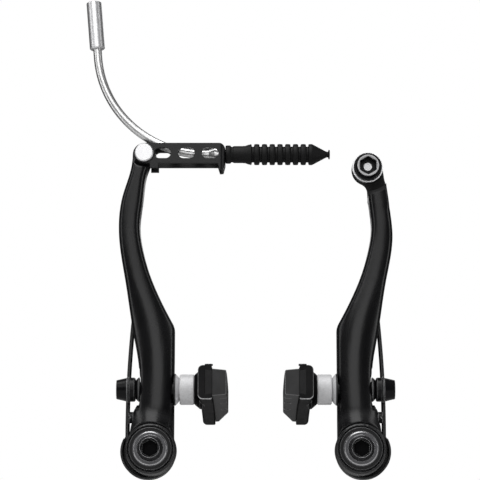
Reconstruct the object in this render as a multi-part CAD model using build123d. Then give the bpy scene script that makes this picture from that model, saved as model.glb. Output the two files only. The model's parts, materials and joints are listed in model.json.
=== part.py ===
from build123d import *
import os
from math import cos, degrees, radians, sin, sqrt

# V-brake: two arms on the frame's brake bosses, pads, return springs, noodle, cable link and cable clamp.
# Frame: X across the bicycle, Y along it, Z up. The origin lies midway between the two bosses, in the plane
# of their seats. Everything in front of the seats has negative Y. The left side is drawn in its own frame,
# with x = 0 on the pivot axis and x growing towards the wheel, and the right side is its mirror image.

# Pivots
PIVOT_SPAN = 80.0
BOSS_BORE_R = 4.03
BUSH_R = 6.0
BUSH_LENGTH = 18.0
BUSH_BEARING_LENGTH = 8.0
BUSH_RELIEF = 0.25
RUNNING_GAP = 0.04
SEAT_GAP = 0.02
PIVOT_WASHER_R = 8.4
PIVOT_WASHER_THICK = 1.2
THREAD_R = 2.95
THREAD_HOLE_GAP = 0.2
PIVOT_BOLT_R = 6.5
PIVOT_BOLT_LIP_R = 3.95
PIVOT_BOLT_RIM = 0.8
PIVOT_BOLT_EDGE = 0.4
PIVOT_BOLT_NECK_R = 5.0
PIVOT_BOLT_HEIGHT = 4.2
PIVOT_BOLT_END_GAP = 1.0
KEY_AF = 6.0
KEY_DEPTH = 3.0
KEY_MOUTH = 0.45

# Spring holder and return spring
HOLDER_R = 10.6
HOLDER_SHIFT = 1.6
HOLDER_DEPTH = 6.5
HOLDER_WALL = 0.8
HOLDER_FLOOR = 0.8
HOLDER_SLOT_ROOM = 0.4
WIRE_R = 0.85
WIRE_GAP = 0.15
COIL_R = 8.3
COIL_SHIFT = 1.2
COIL_TURNS = 1.75
COIL_PITCH = 2.0
COIL_BACK = 1.8
SPRING_PIN_OUT = 4.0
LEG_OFFSET = 2.8
LEG_RISE = 62.0
LEG_END = 6.0
POST_R = 0.9
POST_ROOT = 3.0
POST_PAST_WIRE = 0.45

# Arm
EYE_R = 9.7
EYE_BACK = 7.0
EYE_CHAMFER = 0.8
COUNTERBORE_GAP = 0.3
COUNTERBORE_RELIEF = 0.2
ARM_FRONT_LOW = 16.9
ARM_FRONT_RISE = 60.0
ARM_CROWN_HALF = 12.4
ARM_CROWN_EDGE = 0.6
ARM_CROWN_R = ARM_CROWN_HALF + ARM_CROWN_EDGE
ARM_BACK_BOW = 0.3
ARM_LOW_HALF = 9.0
ARM_INNER_X = 8.7
ARM_CORNER_R = 5.0
ARM_CORNER_Z = 47.4
FOOT_WAY = (0.1, 1)
KNEE_WAY = (0.5, -0.87)
ARM_OUTER = [(-7.15, 13.2), (-4.8, 28.5), (-7.0, 43.5), (-10.4, 64.5), (-13.3, 84.0), (-12.0, 99.0)]
ARM_MIDDLE = [
    (-0.15, -6.0),
    (1.2, 14.0),
    (1.9, 28.0),
    (0.85, 43.5),
    (-1.2, 52.6),
    (-5.1, 64.5),
    (-8.2, 77.5),
    (-9.2, 87.0),
    (-8.2, 98.5),
    (-5.6, 111.0),
    (-3.2, 124.0),
]
ARM_INNER = [(-4.0, 98.5), (-5.15, 87.0), (-3.7, 76.8), (0.0, 65.0), (5.4, 53.4)]
ARM_FRONT_ROUND = 2.4
ARM_BACK_ROUND = 1.4
ARM_CUT_ROOM = 1.0

# Cable ends of the arms
LINK_DEPTH = 13.4
PIN_X = -3.7
PIN_Z = 115.6
PIN_END_R = 4.6
PIN_LEAVE = 44.0
ANCHOR_X = -4.0
ANCHOR_Z = 110.6
ANCHOR_END_R = 6.15
ANCHOR_SEAT_BEHIND = 0.7
ANCHOR_SCOOP_R = 10.0
ANCHOR_BOSS_BEHIND = 1.1
ANCHOR_WEB_R = 4.0
ANCHOR_RIM = 0.6
STEM_TOP_X = -8.0
STEM_TOP_Z = 104.0
STEM_TOP_R = 4.1
STEM_HALF = 4.05
STEM_LOW_Z = 97.0

# Pads
STUD_DEPTH = 12.3
STUD_Z = 23.2
STUD_R = 3.0
STUD_HOLE_GAP = 0.2
PAD_TRAVEL = 3.0
SLOT_GAP = 0.2
FACE_GAP = 0.03
RIM_R = 313.0
PAD_TILT = -1.3
PAD_NEAR = 30.0
PAD_FAR = 40.0
INNER_WASHER_R = 6.1
INNER_DOME_R = 8.0
INNER_DOME_EDGE = 0.4
DOME_GAP = 0.1
CUP_INNER_R = 5.85
CUP_INNER_START = 2.1
CUP_INNER_THICK = 5.6
SHOE_BOSS_R = 7.5
SHOE_BOSS_RIM = 1.6
SHOE_BOSS_BEVEL = 0.5
SHOE_BOSS_TIP_R = 6.1
SHOE_BOSS_HEIGHT = 2.2
SHOE_THICK = 5.1
SHOE_HALF = 6.3
SHOE_ROUND = 1.8
SHOE_EDGE = 0.5
SHOE_BACK_WALL = 2.6
SHOE_END_WALL = 2.5
SHOE_RIB_REACH = 20.0
SHOE_RIB_HALF = 2.2
RUBBER_THICK = 5.4
RUBBER_EDGE = 0.5
RUBBER_HALF = 5.0
RUBBER_FACE_HALF = 4.5
ROOT_HALF = 4.7
ROOT_NECK_HALF = 4.2
ROOT_GAP = 0.05
RUBBER_RAMP = 14.0
RUBBER_RAMP_LEFT = 1.4
GROOVE_WIDTH = 1.6
GROOVE_DEPTH = 2.6
GROOVES = [-19.0, -4.0, 11.0]
PAD_PIN_R = 0.8
PAD_PIN_HEAD_R = 1.5
PAD_PIN_HEAD = 0.7
PAD_PIN_INSET = 5.0
PAD_PIN_DEPTH = 1.3
OUTER_SEAT_X = -4.6
OUTER_WASHER_R = 4.65
OUTER_DOME_R = 6.0
CUP_OUTER_START = 1.6
CUP_OUTER_THICK = 2.5
NUT_WASHER_R = 5.0
NUT_WASHER_THICK = 0.6
NUT_R = 4.6
NUT_TIP_R = 3.65
NUT_HEIGHT = 4.1
NUT_KEY_AF = 5.0
NUT_KEY_DEPTH = 2.8

# Spring tension screw
SCREW_Z = 12.4
SCREW_DEPTH = 12.6
SCREW_R = 1.5
SCREW_HEAD_R = 2.2
SCREW_HEAD = 1.6
SCREW_LENGTH = 4.0
SCREW_FLAT_X = -6.9
SCREW_SLOT = 0.6

# Cable link, noodle and boot
LINK_LENGTH = 31.8
LINK_HALF = 4.0
LINK_WIDTH = 9.4
LINK_SHEET = 1.5
LINK_BEND_R = 2.2
LINK_GAP = 0.2
LINK_SWING_GAP = 0.6
LINK_CORNER_R = 2.5
LINK_HOLE_LENGTH = 6.6
LINK_HOLE_HEIGHT = 4.3
LINK_HOLE_FIRST = 7.2
LINK_HOLE_LAST = 5.9
LINK_HOLE_COUNT = 3
LINK_TAB_LEFT = 2.4
LINK_TAB_LENGTH = 3.1
LINK_TAB_DROP = 1.9
LINK_FINGER_LENGTH = 3.0
LINK_FINGER_TIP = 1.4
LINK_FINGER_DROP = 2.5
PIN_R = 2.5
PIN_HEAD_R = 3.7
PIN_HEAD = 1.5
PIN_BEVEL = 0.4
PIN_TAIL_R = 3.2
PIN_TAIL = 0.8
CABLE_Z = 0.4
TUBE_R = 1.7
TUBE_BORE_R = 1.3
LINER_BORE_R = 0.95
NOODLE_R = 43.5
NOODLE_LEAN = 5.1
NOODLE_NECK_LENGTH = 3.5
NOODLE_LEVEL_X = 24.3
TUBE_PAST_LINK = 5.0
TIP_R = 2.75
TIP_LENGTH = 5.0
TIP_TAPER = 2.2
TIP_WALL = 0.2
FERRULE_R = 3.0
FERRULE_LENGTH = 19.4
HOUSING_R = 2.55
HOUSING_DEPTH = 13.5
FERRULE_GRIP = 5.0
BOOT_GAP = 0.15
BOOT_COLLAR_R = 3.6
BOOT_COLLAR = 2.3
BOOT_NECK_R = 3.35
BOOT_NECK = 6.8
BOOT_FLARE = 2.4
BOOT_RING_R = 4.15
BOOT_GROOVE_R = 3.05
BOOT_RING_PITCH = 2.97
BOOT_RING = 2.0
BOOT_RINGS = 7
BOOT_CONE = 8.4
BOOT_CONE_END_R = 1.1
BOOT_DISC_R = 1.9
BOOT_DISC = 1.0

# Cable anchor
ANCHOR_WASHER_R = 6.0
ANCHOR_WASHER_THICK = 1.8
ANCHOR_FLANGE_R = 5.5
ANCHOR_FLANGE = 1.2
ANCHOR_HEAD_R = 4.2
ANCHOR_HEAD = 2.6
CABLE_GROOVE = 1.9
CABLE_GROOVE_DEPTH = 0.8

# Values worked out from the ones above
HALF_SPAN = PIVOT_SPAN / 2
WASHER_FRONT = BUSH_LENGTH + PIVOT_WASHER_THICK
EYE_FRONT = WASHER_FRONT
EYE_BORE_R = BUSH_R + RUNNING_GAP
ARM_FRONT_TOP = LINK_DEPTH + LINK_WIDTH / 2
ARM_BACK_TOP = LINK_DEPTH - LINK_WIDTH / 2
ARM_BACK_MID = EYE_BACK + ARM_BACK_BOW * (ARM_BACK_TOP - EYE_BACK)
CUT_FRONT = 2 * max(EYE_FRONT, ARM_FRONT_TOP)
ANCHOR_SEAT = LINK_DEPTH - ANCHOR_SEAT_BEHIND
ANCHOR_BACK = ARM_BACK_TOP - ANCHOR_BOSS_BEHIND
CUP_INNER_X = ARM_INNER_X + FACE_GAP + CUP_INNER_START
BOSS_TIP_X = CUP_INNER_X + CUP_INNER_THICK + SEAT_GAP
SHOE_BACK_X = BOSS_TIP_X + SHOE_BOSS_HEIGHT
SHOE_FRONT_X = SHOE_BACK_X + SHOE_THICK
STUD_ROOT_X = SHOE_BACK_X + SHOE_BACK_WALL / 2
PAD_FACE_X = SHOE_FRONT_X + RUBBER_THICK
CUP_OUTER_X = OUTER_SEAT_X - FACE_GAP - CUP_OUTER_START
NUT_WASHER_X = CUP_OUTER_X - CUP_OUTER_THICK - SEAT_GAP
NUT_X = NUT_WASHER_X - NUT_WASHER_THICK - SEAT_GAP
STUD_AXIS = Axis((0, -STUD_DEPTH, STUD_Z), (1, 0, 0))
PAD_AXIS = Axis((0, -STUD_DEPTH, STUD_Z - RIM_R), (1, 0, 0))
CABLE_LEVEL = PIN_Z + CABLE_Z


def turned_y(points):
    """A solid turned about the Y axis from (radius, y) points."""
    return revolve(make_face(Polyline(*points, close=True)), Axis.Y)


def turned_x(points):
    """A solid turned about the X axis from (x, radius) points."""
    return revolve(make_face(Polyline(*points, close=True)), Axis.X)


def rod_y(radius, back, front):
    """A cylinder along Y between two depths in front of the seats."""
    return turned_y([(0, -back), (radius, -back), (radius, -front), (0, -front)])


def rod_x(radius, start, end):
    """A cylinder along X."""
    return turned_x([(start, 0), (start, radius), (end, radius), (end, 0)])


def key_socket_y(across_flats, front, depth):
    """A hexagon socket with a bevelled mouth, cut from the front along Y."""
    hexagon = RegularPolygon(across_flats / sqrt(3), 6, rotation=90)
    hole = extrude(Plane.XZ.offset(front - depth) * hexagon, depth)
    mouth_r = across_flats / sqrt(3) + KEY_MOUTH / 2
    inner_r = mouth_r - 2 * KEY_MOUTH
    mouth = [(0, -front), (mouth_r, -front), (inner_r, -front + 2 * KEY_MOUTH), (0, -front + 2 * KEY_MOUTH)]
    return hole + turned_y(mouth)


def at_stud(shape):
    """Move a piece turned about X to the stud's axis."""
    return Pos(0, -STUD_DEPTH, STUD_Z) * shape


def at_pin(shape):
    """Move a piece drawn about the link pin to the pin's place on the left arm."""
    return Pos(PIN_X, 0, PIN_Z) * shape


# Pivot hardware

def pivot_bush():
    relief = rod_y(BOSS_BORE_R + BUSH_RELIEF, BUSH_BEARING_LENGTH, BUSH_LENGTH)
    return rod_y(BUSH_R, 0, BUSH_LENGTH) - rod_y(BOSS_BORE_R, 0, BUSH_LENGTH) - relief


def pivot_washer():
    hole = rod_y(THREAD_R + THREAD_HOLE_GAP, BUSH_LENGTH, WASHER_FRONT)
    ring = rod_y(PIVOT_WASHER_R, BUSH_LENGTH, WASHER_FRONT) - hole
    rim = ring.edges().filter_by(GeomType.CIRCLE).group_by(Axis.Y)[0].sort_by(SortBy.RADIUS)[-1]
    return chamfer(rim, PIVOT_WASHER_THICK / 3)


def pivot_bolt():
    base = WASHER_FRONT
    tip = BUSH_BEARING_LENGTH + PIVOT_BOLT_END_GAP
    top = base + PIVOT_BOLT_HEIGHT
    shoulder = base + PIVOT_BOLT_RIM
    points = [
        (0, -tip),
        (THREAD_R, -tip),
        (THREAD_R, -base),
        (PIVOT_BOLT_R, -base),
        (PIVOT_BOLT_R, -shoulder),
        (PIVOT_BOLT_R - PIVOT_BOLT_EDGE, -shoulder - PIVOT_BOLT_EDGE),
        (PIVOT_BOLT_NECK_R, -shoulder - PIVOT_BOLT_EDGE),
        (PIVOT_BOLT_LIP_R, -top + PIVOT_BOLT_EDGE),
        (PIVOT_BOLT_LIP_R - PIVOT_BOLT_EDGE / 2, -top),
        (0, -top),
    ]
    return turned_y(points) - key_socket_y(KEY_AF, top, KEY_DEPTH)


def spring_holder():
    inner_r = HOLDER_R - HOLDER_WALL
    cup = rod_y(HOLDER_R, 0, HOLDER_DEPTH) - rod_y(inner_r, HOLDER_FLOOR, HOLDER_DEPTH)
    cup = Pos(-HOLDER_SHIFT, 0, 0) * cup
    cup -= rod_y(BUSH_R + SEAT_GAP, 0, HOLDER_DEPTH)
    cup -= Pos(-COIL_SHIFT, 0, COIL_R) * rod_y(WIRE_R + WIRE_GAP, 0, HOLDER_FLOOR)
    leg_depth = COIL_BACK + COIL_TURNS * COIL_PITCH
    slot_back = leg_depth - WIRE_R - WIRE_GAP
    slot_depth = HOLDER_DEPTH - slot_back
    slot_width = 2 * (WIRE_R + WIRE_GAP + HOLDER_SLOT_ROOM)
    slot = Box(slot_width, slot_depth, HOLDER_R, align=(Align.CENTER, Align.MAX, Align.MIN))
    return cup - Pos(-COIL_SHIFT - COIL_R, -slot_back, 0) * slot


def return_spring():
    """Anchor pin, coil and leg of one wire."""
    coil_height = COIL_TURNS * COIL_PITCH
    leg_depth = COIL_BACK + coil_height
    coil = Helix(COIL_PITCH, coil_height, COIL_R, direction=(0, -1, 0), lefthand=True)
    coil = Pos(-COIL_SHIFT, -COIL_BACK, 0) * coil
    coil = coil.rotate(Axis((-COIL_SHIFT, 0, 0), (0, 1, 0)), coil_start_turn(coil))
    side = -COIL_SHIFT - COIL_R
    corners = [
        (side, -leg_depth, 0),
        (side + LEG_OFFSET, -leg_depth, LEG_RISE),
        (side + LEG_OFFSET, -leg_depth, LEG_RISE + LEG_END),
    ]
    leg_path = Spline(*corners, tangents=[(LEG_OFFSET, 0, LEG_RISE), (0, 0, 1)])
    leg = sweep(Plane(corners[0], z_dir=leg_path % 0) * Circle(WIRE_R), leg_path)
    start = coil @ 0
    wire = sweep(Plane(start, z_dir=coil % 0) * Circle(WIRE_R), coil, is_frenet=True)
    pin = Pos(start.X, 0, start.Z) * rod_y(WIRE_R, -SPRING_PIN_OUT, COIL_BACK)
    ball = Sphere(WIRE_R)
    return wire + leg + pin + Pos(start) * ball + Pos(corners[0]) * ball


def coil_start_turn(coil):
    """Degrees that turn the coil about Y until its end lies outboard, level with the pivot."""
    end = coil @ 1
    return -degrees_about_y(end.X + COIL_SHIFT, end.Z)


def degrees_about_y(x, z):
    """Angle about Y from the outboard direction to the point (x, z)."""
    return Vector(-1, 0, 0).get_signed_angle(Vector(x, 0, z), Vector(0, 1, 0))


def spring_post():
    side = -COIL_SHIFT - COIL_R + LEG_OFFSET - WIRE_R - POST_R - WIRE_GAP
    height = LEG_RISE + LEG_END / 2
    leg_depth = COIL_BACK + COIL_TURNS * COIL_PITCH
    back = leg_depth - WIRE_R - POST_PAST_WIRE
    return Pos(side, 0, height) * rod_y(POST_R, back, ARM_BACK_MID + POST_ROOT)


# Arms

def arm_outline(end_x, end_z, end_r, leave):
    """Front view of an arm above the pivot axis, as a face in the XZ plane.

    leave is the angle below the horizontal where the inner edge leaves the end circle.
    """
    down = radians(leave)
    top = (end_x, end_z + end_r)
    outer_end = (end_x - end_r, end_z)
    inner_end = (end_x + end_r * cos(down), end_z - end_r * sin(down))
    corner = (ARM_INNER_X, ARM_CORNER_Z)
    foot_in = (ARM_INNER_X, 0)
    foot_out = (-ARM_LOW_HALF, 0)
    outer = Spline(foot_out, *ARM_OUTER, outer_end, tangents=[FOOT_WAY, (0, 1)])
    cap = ThreePointArc(outer_end, top, inner_end)
    inner = Spline(inner_end, *ARM_INNER, corner, tangents=[(-sin(down), -cos(down)), KNEE_WAY])
    foot = Polyline(corner, foot_in, foot_out)
    face = make_face(outer + cap + inner + foot)
    knee = face.vertices().sort_by_distance(Vector(*corner))[0]
    return Plane.XZ * fillet(knee, ARM_CORNER_R)


def arm_back(top_z):
    """Everything in front of an arm's gently bowed back."""
    back = [(-ARM_BACK_TOP, top_z), (-ARM_BACK_MID, top_z / 2), (-EYE_BACK, 0)]
    front = [(-CUT_FRONT, 0), (-CUT_FRONT, top_z)]
    outline = ThreePointArc(*back) + Polyline(back[2], *front, back[0])
    return extrude(Plane.YZ * make_face(outline), HALF_SPAN, both=True)


def arm_crown():
    """Everything behind an arm's rounded front, which follows the middle of the arm."""
    flank = ARM_CROWN_R - sqrt(ARM_CROWN_R**2 - ARM_CROWN_HALF**2)
    base = Polyline((-ARM_CROWN_HALF, flank), (-ARM_CROWN_HALF, CUT_FRONT), (ARM_CROWN_HALF, CUT_FRONT))
    base += Line((ARM_CROWN_HALF, CUT_FRONT), (ARM_CROWN_HALF, flank))
    section = make_face(base + ThreePointArc((ARM_CROWN_HALF, flank), (0, 0), (-ARM_CROWN_HALF, flank)))
    sections = []
    for x, z in ARM_MIDDLE:
        share = min(1, max(0, z) / ARM_FRONT_RISE)
        front = ARM_FRONT_LOW + share * (ARM_FRONT_TOP - ARM_FRONT_LOW)
        sections.append(Pos(x, -front, z) * section)
    return loft(sections)


def arm_body(end_x, end_z, end_r, leave):
    outline = extrude(arm_outline(end_x, end_z, end_r, leave), CUT_FRONT)
    body = outline & arm_back(end_z + end_r + ARM_CUT_ROOM) & arm_crown()
    body = fillet(body.edges().filter_by(lambda e: is_rim(e, -1)), ARM_FRONT_ROUND)
    return fillet(body.edges().filter_by(lambda e: is_rim(e, 1)), ARM_BACK_ROUND)


def is_rim(edge, way):
    """True for an edge round the arm's back (way 1) or front (way -1), above the pivot eye's axis."""
    centre = edge.center()
    return (centre.Y + STUD_DEPTH) * way > ARM_BACK_ROUND and edge.bounding_box().size.Z > ARM_BACK_ROUND


def pivot_eye():
    """The pivot boss, with a flared foot where it stands out of the arm's face."""
    ring = rod_y(EYE_R, EYE_BACK, EYE_FRONT)
    rims = ring.edges().filter_by(GeomType.CIRCLE)
    return chamfer(rims, EYE_CHAMFER)


def arm(end_x, end_z, end_r, leave):
    body = arm_body(end_x, end_z, end_r, leave) + pivot_eye()
    body -= rod_y(EYE_BORE_R, EYE_BACK, EYE_FRONT)
    body -= rod_y(PIVOT_WASHER_R + COUNTERBORE_GAP, BUSH_LENGTH - COUNTERBORE_RELIEF, EYE_FRONT)
    slot_half = STUD_R + SLOT_GAP
    slot = SlotCenterToCenter(2 * PAD_TRAVEL, 2 * slot_half, rotation=90)
    body -= extrude(Plane.YZ * Pos(-STUD_DEPTH, STUD_Z) * slot, EYE_R * 2, both=True)
    seat_r = OUTER_WASHER_R + SLOT_GAP
    seat = SlotCenterToCenter(2 * PAD_TRAVEL, 2 * seat_r, rotation=90)
    body -= extrude(Plane.YZ.offset(OUTER_SEAT_X) * Pos(-STUD_DEPTH, STUD_Z) * seat, -EYE_R)
    screw_r = SCREW_R + SEAT_GAP
    screw_place = Pos(0, -SCREW_DEPTH, SCREW_Z)
    body -= screw_place * rod_x(screw_r, SCREW_FLAT_X - EYE_R, SCREW_FLAT_X + SCREW_LENGTH)
    body -= screw_place * rod_x(SCREW_HEAD_R + SLOT_GAP, SCREW_FLAT_X - EYE_R, SCREW_FLAT_X)
    post = spring_post()
    return body - offset(post, SEAT_GAP)


def link_arm():
    """The arm whose top is a tongue for the cable link."""
    body = arm(PIN_X, PIN_Z, PIN_END_R, PIN_LEAVE)
    tongue = LINK_WIDTH / 2 - LINK_SHEET - LINK_GAP
    clear_r = PIN_END_R + LINK_SWING_GAP
    body -= at_pin(rod_y(clear_r, LINK_DEPTH + tongue, CUT_FRONT))
    body -= at_pin(rod_y(clear_r, 0, LINK_DEPTH - tongue))
    return body - at_pin(rod_y(PIN_R + SEAT_GAP, 0, CUT_FRONT))


def anchor_boss():
    """Round seat of the cable clamp and the web that joins it to the stem."""
    stem = make_face(Polyline(
        (STEM_TOP_X - STEM_HALF, STEM_LOW_Z),
        (ANCHOR_X - ANCHOR_END_R, ANCHOR_Z),
        (ANCHOR_X, ANCHOR_Z),
        (STEM_TOP_X + STEM_HALF, STEM_LOW_Z),
        close=True,
    ))
    outline = stem + Pos(ANCHOR_X, ANCHOR_Z) * Circle(ANCHOR_END_R)
    crook = Vector(ANCHOR_X, ANCHOR_Z - ANCHOR_END_R)
    outline = fillet(outline.vertices().sort_by_distance(crook)[0], ANCHOR_WEB_R)
    boss = extrude(Plane.XZ.offset(ANCHOR_BACK) * outline, ANCHOR_SEAT - ANCHOR_BACK)
    low = STEM_LOW_Z - ANCHOR_RIM
    rims = boss.faces().filter_by(Axis.Y).edges().filter_by(lambda e: e.bounding_box().min.Z > low)
    rims = rims.filter_by(lambda e: e.bounding_box().size.Z > ANCHOR_RIM)
    return chamfer(rims, ANCHOR_RIM)


def anchor_arm():
    """The arm whose top carries the cable clamp in a scooped seat."""
    body = arm(STEM_TOP_X, STEM_TOP_Z, STEM_TOP_R, 0)
    centre = Pos(ANCHOR_X, 0, ANCHOR_Z)
    body -= centre * rod_y(ANCHOR_SCOOP_R, ANCHOR_SEAT, CUT_FRONT)
    body += anchor_boss()
    body -= centre * rod_y(THREAD_R + SEAT_GAP, 0, CUT_FRONT)
    groove_y = -ANCHOR_SEAT + CABLE_GROOVE_DEPTH / 2
    groove_z = THREAD_R + CABLE_GROOVE / 2
    groove = Box(4 * ANCHOR_END_R, CABLE_GROOVE_DEPTH, CABLE_GROOVE)
    return body - centre * Pos(0, groove_y, groove_z) * groove


def tension_screw():
    head_x = SCREW_FLAT_X - SEAT_GAP
    shank = rod_x(SCREW_R, SCREW_FLAT_X + SCREW_LENGTH - SEAT_GAP, head_x)
    head = rod_x(SCREW_HEAD_R, head_x, head_x - SCREW_HEAD)
    slot = Pos(head_x - SCREW_HEAD, 0, 0) * Box(SCREW_SLOT * 2, SCREW_HEAD_R * 2, SCREW_SLOT)
    return Pos(0, -SCREW_DEPTH, SCREW_Z) * (shank + head - slot)


# Pads

def dome_washer(seat_x, way, radius, sphere_r):
    """A washer with a flat seat and a ball-shaped back. way is +1 towards the wheel, -1 away."""
    bore = STUD_R + STUD_HOLE_GAP
    edge = seat_x + way * INNER_DOME_EDGE
    centre = edge - way * sqrt(sphere_r**2 - radius**2)
    tip = centre + way * sqrt(sphere_r**2 - bore**2)
    mid_r = (radius + bore) / 2
    mid = centre + way * sqrt(sphere_r**2 - mid_r**2)
    outline = Polyline((tip, bore), (seat_x, bore), (seat_x, radius), (edge, radius))
    outline += ThreePointArc((edge, radius), (mid, mid_r), (tip, bore))
    return at_stud(revolve(make_face(outline), Axis.X)), centre


def cup_washer(start, way, radius, thick, centre, sphere_r):
    """A spacer whose hollow takes the ball of a dome washer."""
    bore = STUD_R + STUD_HOLE_GAP
    ball_r = sphere_r + DOME_GAP
    mouth_r = sqrt(ball_r**2 - (start - centre) ** 2)
    mid_r = (mouth_r + bore) / 2
    deep = centre + way * sqrt(ball_r**2 - bore**2)
    mid = centre + way * sqrt(ball_r**2 - mid_r**2)
    end = start + way * thick
    edge = way * INNER_DOME_EDGE
    corners = [
        (start, mouth_r),
        (start, radius - INNER_DOME_EDGE),
        (start + edge, radius),
        (end - edge, radius),
        (end, radius - INNER_DOME_EDGE),
        (end, bore),
        (deep, bore),
    ]
    outline = Polyline(*corners) + ThreePointArc(corners[-1], (mid, mid_r), corners[0])
    return at_stud(revolve(make_face(outline), Axis.X))


def swept(face):
    """Sweep a pad section, drawn at the stud, along the rim's curve from the far end to the near end."""
    far = degrees(PAD_FAR / RIM_R)
    near = degrees(PAD_NEAR / RIM_R)
    return revolve(face.rotate(PAD_AXIS, -far), PAD_AXIS, far + near).rotate(STUD_AXIS, PAD_TILT)


def along_rim(shape, distance):
    """Turn a piece drawn at the stud along the rim. Positive distance is towards the near end."""
    return shape.rotate(PAD_AXIS, degrees(distance / RIM_R)).rotate(STUD_AXIS, PAD_TILT)


def pad_section(points, back_round=0, front_round=0):
    """A face in the XZ plane through the stud, from (x, height above the stud) points."""
    plane = Plane((0, -STUD_DEPTH, STUD_Z), x_dir=(1, 0, 0), z_dir=(0, -1, 0))
    face = make_face(Polyline(*points, close=True))
    if back_round:
        face = fillet(face.vertices().group_by(Axis.X)[0], back_round)
    if front_round:
        face = fillet(face.vertices().group_by(Axis.X)[-1], front_round)
    return plane * face


def root_points(gap):
    """Dovetail that holds the rubber in the shoe, grown by a gap."""
    back = SHOE_BACK_X + SHOE_BACK_WALL + ROOT_GAP - gap
    half = ROOT_HALF + gap
    neck = ROOT_NECK_HALF + gap
    front = SHOE_FRONT_X + 2 * ROOT_GAP
    return [(back, -half), (back, half), (front, neck), (front, -neck)]


def shoe_holder():
    body = swept(pad_section([
        (SHOE_BACK_X, -SHOE_HALF),
        (SHOE_BACK_X, SHOE_HALF),
        (SHOE_FRONT_X, SHOE_HALF),
        (SHOE_FRONT_X, -SHOE_HALF),
    ], SHOE_ROUND, SHOE_EDGE))
    pocket = swept(pad_section(root_points(ROOT_GAP)))
    wall = Box(SHOE_THICK * 3, SHOE_END_WALL * 2, SHOE_HALF * 4)
    far_wall = along_rim(at_stud(Pos(SHOE_FRONT_X, 0, 0) * wall), -PAD_FAR)
    body -= pocket - far_wall
    boss = turned_x([
        (SHOE_BACK_X + SHOE_BOSS_RIM, 0),
        (SHOE_BACK_X + SHOE_BOSS_RIM, SHOE_BOSS_R - SHOE_BOSS_BEVEL),
        (SHOE_BACK_X + SHOE_BOSS_RIM - SHOE_BOSS_BEVEL, SHOE_BOSS_R),
        (SHOE_BACK_X, SHOE_BOSS_R),
        (BOSS_TIP_X + SHOE_BOSS_BEVEL, SHOE_BOSS_TIP_R),
        (BOSS_TIP_X, SHOE_BOSS_TIP_R - SHOE_BOSS_BEVEL),
        (BOSS_TIP_X, 0),
    ])
    rib_tip = BOSS_TIP_X + SHOE_BOSS_HEIGHT / 2
    rib_drop = SHOE_BOSS_HEIGHT / 6
    rib = extrude(
        make_face(Polyline(
            (SHOE_BACK_X + rib_drop, -SHOE_RIB_REACH),
            (rib_tip, 0),
            (SHOE_BACK_X + rib_drop, SHOE_RIB_REACH),
            close=True,
        )),
        SHOE_RIB_HALF,
        both=True,
    )
    body += at_stud(boss) + along_rim(at_stud(rib), 0)
    body -= at_stud(rod_x(STUD_R + SEAT_GAP, BOSS_TIP_X, STUD_ROOT_X + SEAT_GAP))
    return body - pad_pin_shank(SEAT_GAP)


def pad_rubber():
    block = pad_section([
        (SHOE_FRONT_X + ROOT_GAP, -RUBBER_HALF),
        (SHOE_FRONT_X + ROOT_GAP, RUBBER_HALF),
        (PAD_FACE_X, RUBBER_FACE_HALF),
        (PAD_FACE_X, -RUBBER_FACE_HALF),
    ], front_round=RUBBER_EDGE)
    body = swept(block) + swept(pad_section(root_points(0)))
    ramp = extrude(
        make_face(Polyline(
            (PAD_FACE_X, -RUBBER_RAMP),
            (PAD_FACE_X, RUBBER_RAMP),
            (SHOE_FRONT_X + RUBBER_RAMP_LEFT - RUBBER_THICK, RUBBER_RAMP),
            (SHOE_FRONT_X + RUBBER_RAMP_LEFT, 0),
            close=True,
        )),
        SHOE_HALF * 2,
        both=True,
    )
    body -= along_rim(at_stud(ramp), -PAD_FAR)
    end_wall = Box(SHOE_THICK * 2, SHOE_END_WALL * 2 + ROOT_GAP * 2, SHOE_HALF * 4)
    body -= along_rim(at_stud(Pos(SHOE_FRONT_X + ROOT_GAP - SHOE_THICK, 0, 0) * end_wall), -PAD_FAR)
    groove = at_stud(Pos(PAD_FACE_X, 0, 0) * Box(2 * GROOVE_DEPTH, GROOVE_WIDTH, SHOE_HALF * 2))
    for place in GROOVES:
        body -= along_rim(groove, place)
    return body - pad_pin_shank(ROOT_GAP)


def pad_pin_x():
    return SHOE_BACK_X + SHOE_BACK_WALL + PAD_PIN_DEPTH


def pad_pin_shank(gap=0):
    """The pin across the shoe that keeps the rubber in, or the hole for it when a gap is given."""
    shank = Pos(pad_pin_x(), 0, 0) * Cylinder(PAD_PIN_R + gap, 2 * SHOE_HALF + 4 * gap)
    return along_rim(at_stud(shank), PAD_NEAR - PAD_PIN_INSET)


def pad_pin():
    low = (Align.CENTER, Align.CENTER, Align.MIN)
    head = Pos(pad_pin_x(), 0, SHOE_HALF + SEAT_GAP) * Cylinder(PAD_PIN_HEAD_R, PAD_PIN_HEAD, align=low)
    neck = Pos(pad_pin_x(), 0, SHOE_HALF) * Cylinder(PAD_PIN_R, PAD_PIN_HEAD)
    return pad_pin_shank() + along_rim(at_stud(head + neck), PAD_NEAR - PAD_PIN_INSET)


def shoe_stud():
    end = NUT_X - NUT_HEIGHT + NUT_KEY_DEPTH
    return at_stud(rod_x(STUD_R, STUD_ROOT_X, end + FACE_GAP))


def pad_nut_washer():
    end = NUT_WASHER_X - NUT_WASHER_THICK
    ring = rod_x(NUT_WASHER_R, NUT_WASHER_X, end) - rod_x(STUD_R + STUD_HOLE_GAP, NUT_WASHER_X, end)
    return at_stud(ring)


def pad_nut():
    end = NUT_X - NUT_HEIGHT
    body = turned_x([(NUT_X, 0), (NUT_X, NUT_R), (end, NUT_TIP_R), (end, 0)])
    body -= rod_x(STUD_R + SEAT_GAP, NUT_X, end + NUT_KEY_DEPTH)
    hexagon = RegularPolygon(NUT_KEY_AF / sqrt(3), 6)
    return at_stud(body - extrude(Plane.YZ.offset(end) * hexagon, NUT_KEY_DEPTH))


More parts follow.
